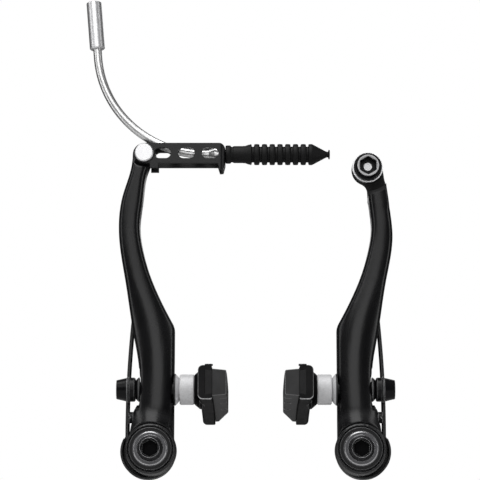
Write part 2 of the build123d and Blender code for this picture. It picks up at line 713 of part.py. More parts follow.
# Cable link, noodle and boot

def link_pin():
    half = LINK_WIDTH / 2 + SEAT_GAP * 2
    front = LINK_DEPTH + half
    back = LINK_DEPTH - half
    points = [
        (0, -back + PIN_TAIL),
        (PIN_TAIL_R - PIN_BEVEL, -back + PIN_TAIL),
        (PIN_TAIL_R, -back + PIN_TAIL - PIN_BEVEL),
        (PIN_TAIL_R, -back),
        (PIN_R, -back),
        (PIN_R, -front),
        (PIN_HEAD_R, -front),
        (PIN_HEAD_R, -front - PIN_HEAD + PIN_BEVEL),
        (PIN_HEAD_R - PIN_BEVEL, -front - PIN_HEAD),
        (0, -front - PIN_HEAD),
    ]
    return at_pin(turned_y(points))


def link_plate_outline():
    """Side of the folded link, drawn about the pin in the XZ plane."""
    tab_end = LINK_TAB_LEFT + LINK_TAB_LENGTH
    finger = LINK_LENGTH - LINK_FINGER_LENGTH
    inset = (LINK_FINGER_LENGTH - LINK_FINGER_TIP) / 2
    plate = Pos(LINK_LENGTH / 2, 0) * Rectangle(LINK_LENGTH, 2 * LINK_HALF) + Circle(LINK_HALF)
    tab = make_face(Polyline(
        (LINK_TAB_LEFT, 0),
        (LINK_TAB_LEFT, -LINK_HALF - LINK_TAB_DROP),
        (tab_end, -LINK_HALF - LINK_TAB_DROP),
        (tab_end, 0),
        close=True,
    ))
    hook = make_face(Polyline(
        (finger, 0),
        (finger, -LINK_HALF),
        (finger + inset, -LINK_HALF - LINK_FINGER_DROP),
        (finger + inset + LINK_FINGER_TIP, -LINK_HALF - LINK_FINGER_DROP),
        (LINK_LENGTH, -LINK_HALF),
        (LINK_LENGTH, 0),
        close=True,
    ))
    return plate + tab + hook


def cable_link():
    """One folded sheet: two sides and the bend that stops the noodle."""
    front = LINK_DEPTH + LINK_WIDTH / 2
    body = extrude(Plane.XZ.offset(front - LINK_WIDTH) * link_plate_outline(), LINK_WIDTH)
    bend = body.edges().filter_by(Axis.Z).filter_by(lambda e: e.center().X > LINK_LENGTH - SEAT_GAP)
    body = fillet(bend, LINK_BEND_R)
    channel = Box(
        LINK_LENGTH + LINK_HALF,
        LINK_WIDTH - 2 * LINK_SHEET,
        6 * LINK_HALF,
        align=(Align.MIN, Align.CENTER, Align.CENTER),
    )
    body -= Pos(-LINK_HALF - LINK_SHEET, -LINK_DEPTH, 0) * channel
    hole = SlotOverall(LINK_HOLE_LENGTH, LINK_HOLE_HEIGHT)
    pitch = (LINK_LENGTH - LINK_HOLE_FIRST - LINK_HOLE_LAST) / (LINK_HOLE_COUNT - 1)
    for index in range(LINK_HOLE_COUNT):
        place = LINK_HOLE_FIRST + index * pitch
        body -= extrude(Plane.XZ * Pos(place, 0) * hole, CUT_FRONT)
    body -= rod_y(PIN_R + RUNNING_GAP, 0, CUT_FRONT)
    seat_r = TUBE_R + SEAT_GAP
    mouth = Box(LINK_SHEET * 4, 2 * seat_r, LINK_HALF * 2, align=(Align.CENTER, Align.CENTER, Align.MIN))
    seat = rod_x(seat_r, LINK_LENGTH - LINK_SHEET * 2, LINK_LENGTH + LINK_SHEET)
    body -= Pos(0, -LINK_DEPTH, CABLE_Z) * seat
    body -= Pos(LINK_LENGTH, -LINK_DEPTH, CABLE_Z) * mouth
    return at_pin(body - link_corner())


def link_corner():
    """What is cut away to round the bend's upper corner."""
    size = LINK_CORNER_R + LINK_SHEET
    block = Box(size, CUT_FRONT, size, align=(Align.MIN, Align.MAX, Align.MIN))
    corner = block - rod_y(LINK_CORNER_R, 0, CUT_FRONT)
    return Pos(LINK_LENGTH - LINK_CORNER_R, 0, LINK_HALF - LINK_CORNER_R) * corner


def noodle_path(end_x):
    """Centre line of the noodle from a level end at end_x, round the bend and up into the ferrule."""
    plane = Plane((PIN_X, -LINK_DEPTH, CABLE_LEVEL), x_dir=(1, 0, 0), z_dir=(0, -1, 0))
    centre = (NOODLE_LEVEL_X, NOODLE_R)
    turn = 90 - NOODLE_LEAN
    with BuildLine(plane) as line:
        level = Line((end_x, 0), (NOODLE_LEVEL_X, 0))
        bend = CenterArc(centre, NOODLE_R, -90, -turn)
        PolarLine(bend @ 1, NOODLE_NECK_LENGTH + FERRULE_GRIP, direction=bend % 1)
    return line.line, level


def noodle_pipe(outer_r, inner_r, end_x):
    path, level = noodle_path(end_x)
    section = Plane(level @ 0, z_dir=level % 0) * (Circle(outer_r) - Circle(inner_r))
    return sweep(section, path)


def noodle_tube():
    return noodle_pipe(TUBE_R, TUBE_BORE_R, LINK_LENGTH + TUBE_PAST_LINK)


def noodle_liner():
    return noodle_pipe(TUBE_BORE_R - SEAT_GAP, LINER_BORE_R, LINK_LENGTH + TUBE_PAST_LINK)


def noodle_tip():
    """The swaged collar that bears on the link's bend."""
    seat = LINK_LENGTH - LINK_SHEET - SEAT_GAP
    bore = TUBE_R + SEAT_GAP
    points = [
        (seat, bore),
        (seat, TIP_R),
        (seat - TIP_LENGTH + TIP_TAPER, TIP_R),
        (seat - TIP_LENGTH, bore + TIP_WALL),
        (seat - TIP_LENGTH, bore),
    ]
    return at_pin(Pos(0, -LINK_DEPTH, CABLE_Z) * turned_x(points))


def ferrule_frame():
    """Plane at the noodle's upper end, with its normal pointing out of the ferrule."""
    path, _ = noodle_path(LINK_LENGTH)
    return Plane(path @ 1, z_dir=path % 1)


def noodle_ferrule():
    bore = TUBE_R + SEAT_GAP
    face = FERRULE_LENGTH - FERRULE_GRIP
    edge = INNER_DOME_EDGE
    points = [
        (bore, -FERRULE_GRIP),
        (FERRULE_R - edge, -FERRULE_GRIP),
        (FERRULE_R, edge - FERRULE_GRIP),
        (FERRULE_R, face - edge / 2),
        (FERRULE_R - edge / 2, face),
        (HOUSING_R, face),
        (HOUSING_R, face - HOUSING_DEPTH),
        (bore, face - HOUSING_DEPTH),
    ]
    profile = make_face(Polyline(*[(r, 0, h) for r, h in points], close=True))
    return ferrule_frame() * revolve(profile, Axis.Z)


def rubber_boot():
    """Bellows sleeve over the noodle's nose, ending in a nipple for the cable."""
    start = LINK_LENGTH + BOOT_GAP
    nose = LINK_LENGTH + TUBE_PAST_LINK + SEAT_GAP
    neck = start + BOOT_COLLAR
    flare = neck + BOOT_NECK - BOOT_FLARE
    ring_start = flare + BOOT_FLARE
    half_groove = (BOOT_RING_PITCH - BOOT_RING) / 2
    points = [
        (start, TUBE_R + SEAT_GAP),
        (start, BOOT_COLLAR_R),
        (neck - half_groove, BOOT_COLLAR_R),
        (neck, BOOT_GROOVE_R),
        (neck + half_groove, BOOT_NECK_R),
        (flare, BOOT_NECK_R),
        (ring_start, BOOT_RING_R),
    ]
    for index in range(BOOT_RINGS):
        at = ring_start + index * BOOT_RING_PITCH + half_groove
        points += [
            (at, BOOT_RING_R),
            (at + half_groove, BOOT_GROOVE_R),
            (at + half_groove * 2, BOOT_RING_R),
        ]
    cone = ring_start + BOOT_RINGS * BOOT_RING_PITCH + half_groove
    tip = cone + BOOT_CONE
    points += [
        (cone, BOOT_RING_R),
        (tip, BOOT_CONE_END_R),
        (tip, BOOT_DISC_R),
        (tip + BOOT_DISC, BOOT_DISC_R),
        (tip + BOOT_DISC, LINER_BORE_R),
        (nose, LINER_BORE_R),
        (nose, TUBE_R + SEAT_GAP),
    ]
    return at_pin(Pos(0, -LINK_DEPTH, CABLE_Z) * turned_x(points))


# Cable anchor on the right arm, drawn in the left side's frame and mirrored with it

def anchor_washer():
    front = ANCHOR_SEAT + SEAT_GAP + ANCHOR_WASHER_THICK
    back = ANCHOR_SEAT + SEAT_GAP
    ring = rod_y(ANCHOR_WASHER_R, back, front) - rod_y(THREAD_R + THREAD_HOLE_GAP, back, front)
    return Pos(ANCHOR_X, 0, ANCHOR_Z) * ring


def anchor_bolt():
    base = ANCHOR_SEAT + 2 * SEAT_GAP + ANCHOR_WASHER_THICK
    flange = base + ANCHOR_FLANGE
    top = flange + ANCHOR_HEAD
    points = [
        (0, -ARM_BACK_TOP),
        (THREAD_R, -ARM_BACK_TOP),
        (THREAD_R, -base),
        (ANCHOR_FLANGE_R, -base),
        (ANCHOR_FLANGE_R, -flange),
        (ANCHOR_HEAD_R + KEY_MOUTH, -flange),
        (ANCHOR_HEAD_R, -top),
        (0, -top),
    ]
    bolt = turned_y(points) - key_socket_y(KEY_AF, top, KEY_DEPTH)
    return Pos(ANCHOR_X, 0, ANCHOR_Z) * bolt


def pair_pieces():
    """Pieces that both sides have, drawn for the left one."""
    inner_seat = ARM_INNER_X + FACE_GAP
    outer_seat = OUTER_SEAT_X - FACE_GAP
    inner_dome, inner_ball = dome_washer(inner_seat, 1, INNER_WASHER_R, INNER_DOME_R)
    outer_dome, outer_ball = dome_washer(outer_seat, -1, OUTER_WASHER_R, OUTER_DOME_R)
    return {
        "pivot_bush": pivot_bush(),
        "pivot_washer": pivot_washer(),
        "pivot_bolt": pivot_bolt(),
        "spring_holder": spring_holder(),
        "return_spring": return_spring(),
        "spring_post": spring_post(),
        "tension_screw": tension_screw(),
        "shoe_holder": shoe_holder(),
        "pad_rubber": pad_rubber(),
        "pad_pin": pad_pin(),
        "shoe_stud": shoe_stud(),
        "inner_dome_washer": inner_dome,
        "inner_cup_spacer": cup_washer(
            CUP_INNER_X, 1, CUP_INNER_R, CUP_INNER_THICK, inner_ball, INNER_DOME_R
        ),
        "outer_dome_washer": outer_dome,
        "outer_cup_washer": cup_washer(
            CUP_OUTER_X, -1, OUTER_WASHER_R, CUP_OUTER_THICK, outer_ball, OUTER_DOME_R
        ),
        "nut_washer": pad_nut_washer(),
        "pad_nut": pad_nut(),
    }


def left(shape):
    return Pos(-HALF_SPAN, 0, 0) * shape


def right(shape):
    return mirror(left(shape), about=Plane.YZ)


def main():
    os.makedirs("parts", exist_ok=True)
    nodes = {}
    for name, shape in pair_pieces().items():
        nodes["left_" + name] = left(shape)
        nodes["right_" + name] = right(shape)
    nodes["left_arm"] = left(link_arm())
    nodes["right_arm"] = right(anchor_arm())
    nodes["link_pin"] = left(link_pin())
    nodes["cable_link"] = left(cable_link())
    nodes["noodle_tube"] = left(noodle_tube())
    nodes["noodle_liner"] = left(noodle_liner())
    nodes["noodle_tip"] = left(noodle_tip())
    nodes["noodle_ferrule"] = left(noodle_ferrule())
    nodes["rubber_boot"] = left(rubber_boot())
    nodes["anchor_washer"] = right(anchor_washer())
    nodes["anchor_bolt"] = right(anchor_bolt())
    for name, shape in nodes.items():
        export_step(shape, f"parts/{name}.step")


main()
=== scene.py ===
import json
from math import cos, hypot, pi, radians, sin

import bmesh
import bpy
from bpy.props import FloatProperty, FloatVectorProperty, IntProperty, PointerProperty
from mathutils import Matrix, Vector

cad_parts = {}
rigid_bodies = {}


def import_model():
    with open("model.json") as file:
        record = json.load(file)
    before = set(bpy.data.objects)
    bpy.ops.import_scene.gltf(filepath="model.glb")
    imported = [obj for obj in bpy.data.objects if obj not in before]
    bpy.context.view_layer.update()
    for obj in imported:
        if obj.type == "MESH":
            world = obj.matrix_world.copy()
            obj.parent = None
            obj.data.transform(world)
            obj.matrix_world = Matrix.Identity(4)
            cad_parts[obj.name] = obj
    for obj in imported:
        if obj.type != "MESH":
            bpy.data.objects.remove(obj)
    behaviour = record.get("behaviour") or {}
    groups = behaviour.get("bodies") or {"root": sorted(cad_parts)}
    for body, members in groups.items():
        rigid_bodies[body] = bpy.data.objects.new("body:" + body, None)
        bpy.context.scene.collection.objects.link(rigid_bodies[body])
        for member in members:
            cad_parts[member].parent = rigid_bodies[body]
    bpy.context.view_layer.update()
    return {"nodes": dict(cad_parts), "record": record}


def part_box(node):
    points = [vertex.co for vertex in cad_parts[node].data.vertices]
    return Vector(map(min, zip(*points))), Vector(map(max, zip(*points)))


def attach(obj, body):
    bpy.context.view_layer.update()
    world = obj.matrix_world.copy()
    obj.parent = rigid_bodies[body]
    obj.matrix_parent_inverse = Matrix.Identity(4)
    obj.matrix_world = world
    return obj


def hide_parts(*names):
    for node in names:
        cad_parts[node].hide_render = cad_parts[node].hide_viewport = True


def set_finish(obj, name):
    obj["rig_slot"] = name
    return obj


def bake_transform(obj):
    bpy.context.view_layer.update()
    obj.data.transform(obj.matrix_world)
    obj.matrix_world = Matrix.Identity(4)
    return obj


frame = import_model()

bl_info = {
    "name": "V-Brake Dresser",
    "version": (1, 0, 0),
    "blender": (4, 5, 0),
    "location": "3D View > Sidebar > V-Brake",
    "description": "Dresses the solids of a bicycle V-brake with finishes, springs, boot and a studio",
    "category": "Object",
}

MM = 0.001
SIDES = {"left": -1, "right": 1}


def middle(node):
    """Centre of a node's box at rest."""
    low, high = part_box(node)
    return (Vector(low) + Vector(high)) / 2


PIVOT_X = abs(middle("left_pivot_bush").x)

# Rounded edges of the finishes, and the widths of the painted edge highlights
EDGE_R = 0.35 * MM
PAD_EDGE_R = 0.5 * MM
LEDGE_EDGE_R = 1.0 * MM
EDGE_GAIN = 6
BEVEL_SAMPLES = 8

# Places of the finishes' marks: arms, pivot bolts, cable clamp, pads and spacers
# The eyes' two radii and the flare's radius place painted highlights
EYE_RIM_R = 8.8 * MM
EYE_STEP_R = 9.4 * MM
FLARE_HIGHLIGHT_R = 13.2 * MM
SCOOP_R = 11.8 * MM
BOLT_SOCKET_R = 3.6 * MM
BOLT_SOCKET_TOP = 0.6 * MM
# Radius of the pivot bolts' painted highlight ring
BOLT_HIGHLIGHT_R = 6.3 * MM
BOLT_FACE_R = 6.8 * MM
BOLT_GROOVE = 0.2618 * MM
CLAMP_FACE_R = 4.6 * MM
CLAMP_FACE_DEPTH = 0.45 * MM
CLAMP_KEY_HALF = 3.2 * MM
CLAMP_FLOOR_R = 1.6 * MM
CLAMP_GROOVE = 0.2094 * MM
PAD_SEAM = 0.3 * MM
# Depth of the holders' near ends that are painted lighter
HOLDER_END_DEPTH = 1.3 * MM
HOLDER_BACK = 3.3 * MM
# Where the painted ledge highlight lies under each stud
LEDGE_DROP = 4.0 * MM
LEDGE_REACH = 3.0 * MM
# Width of the painted shade on the dome washers next to the arms
SPACER_SHADE = 0.7 * MM
STREAK_DEPTH = 0.004 * MM

# Fineness of the meshes: sides of round sections, and steps along a path
WIRE_SIDES = 14
PIPE_SIDES = 32
BOOT_SIDES = 48
PIN_STEPS = 4
BEND_STEPS = 6
COIL_STEPS = 48
LEG_STEPS = 32
PIPE_STEPS = 72
SHARP_TURNED = radians(38)
SHARP_FORGED = radians(50)

# Outline of the boot in millimetres, as (distance, radius). The neck and the bore are measured from the wide
# end, each fold from its own start, and the tip from a point just past the last fold.
BOOT_NECK = [
    (-0.12, 1.75), (-0.12, 3.35), (0.1, 3.55), (0.5, 3.62), (1.6, 3.6), (1.95, 3.42), (2.15, 3.1),
    (2.45, 3.05), (2.75, 3.1), (2.95, 3.3), (3.4, 3.36), (6.6, 3.36), (7.7, 3.45), (8.8, 3.85), (9.8, 4.1),
]
BOOT_FOLD = [
    (-0.3, 4.12), (-0.05, 3.98), (0.06, 3.5), (0.12, 3.12),
    (0.88, 3.12), (0.94, 3.5), (1.05, 3.98), (1.3, 4.12), (1.98, 4.17),
]
BOOT_TIP = [
    (0.2, 4.12), (0.5, 3.95), (5.5, 1.3), (6.1, 1.1), (6.4, 1.12),
    (6.52, 1.5), (6.65, 1.82), (6.9, 1.9), (7.05, 1.82), (7.11, 1.6), (7.11, 0.95),
]
BOOT_BORE = [(5.1, 0.95), (5.0, 1.75)]
BOOT_FIRST_FOLD = 10.15
BOOT_FOLD_PITCH = 3.05
BOOT_TIP_START = 9.4

# Where the studio lights are aimed, and the name, power property, size and place of each, in metres
LIGHT_AIM = (0, -0.012, 0.07)
LIGHTS = (
    ("front_light", "front", (0.5, 0.3), (0, -0.85, 0.1)),
    ("high_light", "high", (0.7, 0.5), (-0.15, -0.68, 0.56)),
    ("key_light", "key", (0.7, 0.5), (-0.1, -0.25, 0.85)),
    ("left_light", "rim", (0.16, 0.8), (-0.6, -0.25, 0.1)),
    ("right_light", "rim", (0.16, 0.8), (0.6, -0.25, 0.1)),
    ("back_light", "back", (0.8, 0.5), (0.1, 0.8, 0.5)),
)
SENSOR_WIDTH = 36


# Sizes and colours

def colour_prop(name, description, default):
    """A colour that a user can change in the sidebar."""
    return FloatVectorProperty(
        name=name, description=description, subtype="COLOR", size=3, min=0, max=1, default=default
    )


def length_prop(name, description, millimetres):
    """A length in metres, with its default given in millimetres."""
    return FloatProperty(
        name=name, description=description, default=millimetres * MM, unit="LENGTH", precision=5
    )


def count_prop(name, description, default):
    """A whole number of at least 1."""
    return IntProperty(name=name, description=description, default=default, min=1)


def power_prop(name, description, watts):
    """The power of a light."""
    return FloatProperty(name=name, description=description, default=watts, min=0, unit="POWER")


class BrakeColours(bpy.types.PropertyGroup):
    """Colours of the brake's finishes."""

    anodised: colour_prop("Anodised black", "Face of the forged arms", (0.0022, 0.0022, 0.0026))
    anodised_worn: colour_prop("Anodised, rubbed", "Clouds in the arms' finish", (0.0042, 0.0042, 0.0048))
    # Painted highlight colour on the edges and flares of the pivot eyes
    anodised_highlight: colour_prop("Anodised, edges", "Rims and flares of the pivot eyes", (0.07, 0.07, 0.072))
    oxide: colour_prop("Black oxide", "Screws, nuts and pivot bolts", (0.0035, 0.0035, 0.004))
    oxide_face: colour_prop("Oxide, brushed", "Faces of the pivot bolts", (0.035, 0.035, 0.037))
    # Painted highlight colour along the edges of the pads and holders
    edge: colour_prop("Rubbed edges", "Edges of the pads and their holders", (0.26, 0.26, 0.262))
    # Painted highlight colour along the screws' edges and round the pivot bolts
    oxide_highlight: colour_prop("Worn oxide", "Rubbed edges of the screws", (0.6, 0.6, 0.61))
    sheet: colour_prop("Coated sheet", "Folded cable link", (0.0028, 0.0028, 0.0032))
    rubber: colour_prop("Rubber", "Boot", (0.002, 0.002, 0.0021))
    pad: colour_prop("Pad rubber", "Brake pads", (0.026, 0.026, 0.0265))
    holder: colour_prop("Pad holder", "Holders of the brake pads", (0.003, 0.003, 0.0032))
    # Painted light: the holders' near ends are lighter than their undersides
    holder_lit_end: colour_prop("Holder end", "Dusty ends of the pad holders", (0.018, 0.018, 0.0185))
    plastic: colour_prop("Moulded plastic", "Spring holders", (0.004, 0.004, 0.0045))
    liner: colour_prop("Liner", "Slippery tube inside the lead pipe", (0.72, 0.71, 0.68))
    # Also the colour of the painted highlight on the holders' ledges
    spacer_and_ledge_highlight: colour_prop("Spacer alloy", "Cup spacers, and ledges of the pad holders", (0.62, 0.62, 0.63))
    bright: colour_prop("Bright steel", "Link pin, and the clamp's washer and face", (0.7, 0.7, 0.71))
    polished: colour_prop("Polished steel", "Lead pipe", (0.72, 0.72, 0.72))
    ferrule: colour_prop("Ferrule alloy", "Sleeve at the end of the lead pipe", (0.74, 0.74, 0.75))
    turned: colour_prop("Turned steel", "Bushes and spring posts", (0.36, 0.36, 0.37))
    wire: colour_prop("Spring wire", "Return springs", (0.004, 0.004, 0.0045))
    floor: colour_prop("Floor", "Studio floor", (0.72, 0.72, 0.72))


class BrakeShapes(bpy.types.PropertyGroup):
    """Sizes of the pieces that are made here."""

    grid: length_prop("Forging grid", "Mesh size of the forged arms", 0.4)
    edge_rounds: count_prop("Edge rounds", "Rounds of softening on the arms' edges", 4)
    eye_rounds: count_prop("Eye rounds", "Rounds of softening on the pivot eyes", 1)
    flare_rounds: count_prop("Flare rounds", "Rounds of softening on the flares", 6)
    flare_reach: length_prop("Flare reach", "Radius where an arm starts to rise to its pivot eye", 18)
    flare_start: length_prop("Flare start", "Radius of the pivot eye", 9.7)
    flare_lift: length_prop("Flare lift", "Height of the rise at the pivot eye", 1.9)
    seat_gap: length_prop("Seat gap", "Gap between an arm and its dome washers", 0.05)
    seat_room: length_prop("Seat room", "Flat face round each dome washer", 0.4)
    seat_depth: length_prop("Seat depth", "How much of an arm's face is flattened at most", 1.2)
    pad_slide: length_prop("Pad slide", "How far a pad slides to each side", 3)
    neck_low: length_prop("Neck start", "Height where the right arm starts to blend into its cable end", 93)
    neck_high: length_prop("Neck end", "Height where the right arm has become its cable end", 105)
    neck_fill: length_prop("Neck fill", "Depth of the hollow that is filled at the right arm's neck", 2.2)
    neck_rounds: count_prop("Neck rounds", "Rounds of softening on the neck's outer edge", 40)
    neck_blend_rounds: count_prop("Neck blend rounds", "Rounds of softening on the whole neck", 8)
    end_r: length_prop("Cable end radius", "Radius of the right arm's cable end", 6.15)
    wire_r: length_prop("Wire radius", "Radius of the spring wire", 0.85)
    wire_tip_r: length_prop("Wire tip radius", "Radius of the spring wire's ends", 0.68)
    wire_bend_r: length_prop("Wire bend radius", "Radius of the bend between pin and coil", 1.105)
    coil_x: length_prop("Coil centre", "Distance of the coil's axis from the middle of the brake", 41.2)
    coil_r: length_prop("Coil radius", "Mean radius of the spring's coil", 8.3)
    coil_back: length_prop("Coil start", "Depth where the coil starts", 1.8)
    coil_front: length_prop("Coil end", "Depth where the coil ends", 5.3)
    coil_turns: FloatProperty(name="Coil turns", description="Turns of the spring", default=1.75, min=0.75)
    anchor_out: length_prop("Anchor pin", "How far the spring's end stands out of the seat", 4)
    leg_foot: length_prop("Leg foot", "Height where the leg starts to follow its arm", 9.96)
    leg_in: length_prop("Leg offset", "How far the leg's top lies inward of its foot", 2.8)
    leg_rise: length_prop("Leg rise", "Height where the leg becomes upright", 62)
    leg_top: length_prop("Leg top", "Height of the leg's end", 68)
    leg_bow: length_prop("Leg bow", "How far the loaded leg bows outward", 1.0)
    pipe_r: length_prop("Pipe radius", "Outer radius of the lead pipe", 1.7)
    pipe_bore_r: length_prop("Pipe bore", "Inner radius of the lead pipe", 1.3)
    pipe_start_x: length_prop("Pipe nose", "Where the lead pipe ends inside the boot", -6.9)
    pipe_bend_x: length_prop("Pipe bend", "Where the lead pipe starts to bend", -19.4)
    pipe_bend_r: length_prop("Bend radius", "Radius of the lead pipe's bend", 43.5)
    pipe_bend: FloatProperty(
        name="Bend", description="Angle of the lead pipe's bend", default=radians(84.9), subtype="ANGLE"
    )
    pipe_neck: length_prop("Pipe neck", "Straight length at the pipe's upper end", 8.5)
    cable_z: length_prop("Cable height", "Height of the cable line above the pivots", 116)
    cable_y: length_prop("Cable depth", "Depth of the cable line", -13.4)
    boot_rings: count_prop("Boot rings", "Folds of the rubber boot", 8)


class BrakeStudio(bpy.types.PropertyGroup):
    """Camera and lights."""

    camera_y: length_prop("Camera distance", "How far the camera stands in front of the brake", 724)
    camera_z: length_prop("Camera height", "Height of the camera above the pivots", -61.2)
    camera_tilt: FloatProperty(
        name="Camera tilt", description="Upward tilt of the camera", default=radians(11.37), subtype="ANGLE"
    )
    camera_lens: FloatProperty(name="Lens", description="Focal length in millimetres", default=139.3)
    camera_shift: FloatProperty(name="Shift", description="Sideways shift of the frame", default=-0.0327)
    floor_z: length_prop("Floor height", "Height of the floor below the pivots", -92)
    floor_size: length_prop("Floor size", "Side of the floor", 900)
    fill: FloatProperty(name="Fill", description="Brightness of the room", default=0.07, min=0)
    front: power_prop("Front light", "Power of the light behind the lens", 0.9)
    high: power_prop("High light", "Power of the light above the lens", 3.0)
    key: power_prop("Key light", "Power of the large light overhead", 5.0)
    back: power_prop("Back light", "Power of the light behind the brake", 1.2)
    rim: power_prop("Side light", "Power of each side light", 1.0)


# Shader maths

class Wire:
    """A shader socket that adds the Math node of each operator used on it."""

    def __init__(self, shade, socket):
        self.shade = shade
        self.socket = socket

    def math(self, operation, *values):
        return self.shade.add("ShaderNodeMath", {"operation": operation}, dict(enumerate(values)))

    def __add__(self, other):
        return self.math("ADD", self, other)

    def __radd__(self, other):
        return self.math("ADD", other, self)

    def __sub__(self, other):
        return self.math("SUBTRACT", self, other)

    def __rsub__(self, other):
        return self.math("SUBTRACT", other, self)

    def __mul__(self, other):
        return self.math("MULTIPLY", self, other)

    def __truediv__(self, other):
        return self.math("DIVIDE", self, other)

    def __pow__(self, other):
        return self.math("POWER", self, other)

    def __abs__(self):
        return self.math("ABSOLUTE", self)

    def most(self, other):
        """The greater of two values."""
        return self.math("MAXIMUM", self, other)

    def wave(self, pitch):
        """Even waves from 0 to 1, one for each pitch."""
        return self.math("SINE", self * (2 * pi / pitch)) * 0.5 + 0.5

    def clip(self):
        """The value kept between 0 and 1."""
        return self.shade.add("ShaderNodeClamp", inputs={0: self})

    def band(self, centre, half):
        """1 at a value, falling to 0 at half a band to each side."""
        return (1 - abs(self - centre) / half).clip()

    def below(self, limit, soft):
        """1 below a limit, falling to 0 over a soft width that ends at it."""
        return ((limit - self) / soft).clip()

    def above(self, limit, soft):
        """0 up to a limit, rising to 1 over a soft width that starts at it."""
        return ((self - limit) / soft).clip()


class Shade:
    """A material or a world, and the nodes that are added to it."""

    def __init__(self, data, surface):
        data.use_nodes = True
        self.data = data
        self.tree = data.node_tree
        self.surface = self.tree.nodes[surface]

    def put(self, socket, value):
        """Link a wire to a socket, or set a plain value on it."""
        if isinstance(value, Wire):
            self.tree.links.new(value.socket, socket)
        else:
            socket.default_value = value

    def add(self, kind, settings=None, inputs=None, output=0):
        """Add a node: its settings first, then the values or links of its sockets."""
        node = self.tree.nodes.new(kind)
        for key, value in (settings or {}).items():
            if key == "stops":
                self.ramp(node, value)
            else:
                setattr(node, key, value)
        for key, value in (inputs or {}).items():
            self.put(node.inputs[key], value)
        return Wire(self, node.outputs[output])

    def ramp(self, node, stops):
        """Set a colour ramp's stops from (place, grey) pairs."""
        elements = node.color_ramp.elements
        while len(elements) < len(stops):
            elements.new(0.5)
        for element, (place, grey) in zip(elements, stops):
            element.position = place
            element.color = (grey, grey, grey, 1)

    def set(self, **inputs):
        """Feed the surface's sockets, named with underscores for spaces."""
        for key, value in inputs.items():
            self.put(self.surface.inputs[key.replace("_", " ").title().replace("Ior", "IOR")], value)

    def place(self):
        """Coordinates of the surface in the brake's own frame."""
        return self.add("ShaderNodeTexCoord", output="Object")

    def part(self, axis):
        """One coordinate of the surface in the brake's own frame."""
        return self.add("ShaderNodeSeparateXYZ", inputs={0: self.place()}, output=axis)

    def radius(self, x, z):
        """Distance from an axis along Y."""
        return ((self.part("X") - x) ** 2 + (self.part("Z") - z) ** 2) ** 0.5

    def pivot_radius(self):
        """Distance from the nearer pivot axis."""
        return ((abs(self.part("X")) - PIVOT_X) ** 2 + self.part("Z") ** 2) ** 0.5

    def noise(self, scale, detail=3.0, rough=0.55, vector=None):
        """Cloudy noise from 0 to 1."""
        inputs = {"Vector": vector or self.place(), "Scale": scale, "Detail": detail, "Roughness": rough}
        return self.add("ShaderNodeTexNoise", inputs=inputs)

    def stretched(self, x, y, z):
        """Coordinates scaled along each axis, which draw noise out into streaks."""
        return self.add("ShaderNodeVectorMath", {"operation": "MULTIPLY"}, {0: self.place(), 1: (x, y, z)})

    def ramped(self, value, *stops):
        """A value sent through a grey ramp."""
        return self.add("ShaderNodeValToRGB", {"stops": stops}, {0: value})

    def blend(self, factor, first, second):
        """Two colours mixed by a factor."""
        inputs = {0: factor, 6: colour4(first), 7: colour4(second)}
        return self.add("ShaderNodeMix", {"data_type": "RGBA"}, inputs, output=2)

    def rounded(self, radius):
        """The normal of a piece whose edges are rounded to a radius."""
        return self.add("ShaderNodeBevel", {"samples": BEVEL_SAMPLES}, {"Radius": radius})

    # The finishes paint highlights along the edges that this mask finds
    def rubbed(self, radius):
        """1 along the edges of a piece, falling to 0 at a distance from them."""
        normals = {0: self.rounded(radius), 1: self.add("ShaderNodeNewGeometry", output="Normal")}
        same = self.add("ShaderNodeVectorMath", {"operation": "DOT_PRODUCT"}, normals, "Value")
        return ((1 - same) * EDGE_GAIN).clip()

    def facing_down(self, radius):
        """1 where an edge rounded to a radius faces down, and 0 where it is upright or faces up."""
        up = self.add("ShaderNodeSeparateXYZ", inputs={0: self.rounded(radius)}, output="Z")
        return up.below(-0.133, soft=0.333)

    def bump(self, height, distance, strength=1.0, edge=0.0):
        """A normal that stands up from a height pattern, over edges rounded to a radius."""
        inputs = {"Height": height, "Distance": distance, "Strength": strength}
        if edge:
            inputs["Normal"] = self.rounded(edge)
        return self.add("ShaderNodeBump", inputs=inputs)


def new_shade(name):
    """A new material."""
    return Shade(bpy.data.materials.new(name), "Principled BSDF")


def colour4(colour):
    """A colour with full alpha, or a wire as it is."""
    return colour if isinstance(colour, Wire) else (*colour, 1)


def lighter(colour, times):
    """A colour with every part multiplied."""
    return [part * times for part in colour]


# Finishes

def anodised_black(colours):
    """Satin black of the forged arms: fine blasted grain, faint clouds, a dull scoop under the clamp, and
    painted highlights on the edges and flares of the pivot eyes.
    """
    shade = new_shade("anodised_black")
    cloud = shade.ramped(shade.noise(scale=55, detail=4), (0.38, 0), (0.68, 1))
    grain = shade.noise(scale=2600, detail=2)
    radius = shade.pivot_radius()
    # Painted highlights: light bands on the pivot eyes' edges, and a soft light band on the flare above each
    # eye
    eye_rim_highlights = radius.band(EYE_RIM_R, half=0.25 * MM) + radius.band(EYE_STEP_R, half=0.3 * MM) * 0.6
    flare_highlight = radius.band(FLARE_HIGHLIGHT_R, half=3.2 * MM) * 0.16
    light = eye_rim_highlights * (0.4 + cloud * 0.6) + flare_highlight
    clamp = middle("anchor_bolt")
    scoop = shade.radius(clamp.x, clamp.z).below(SCOOP_R, soft=1.11 * MM)
    face = shade.blend(cloud, colours.anodised, colours.anodised_worn)
    shade.set(
        base_color=shade.blend(light.clip(), face, colours.anodised_highlight),
        roughness=0.24 + cloud * 0.03 + grain * 0.02 + scoop * 0.6,
        normal=shade.bump(grain, distance=0.002 * MM, strength=0.15, edge=EDGE_R),
        specular_ior_level=0.36,
    )
    return shade.data


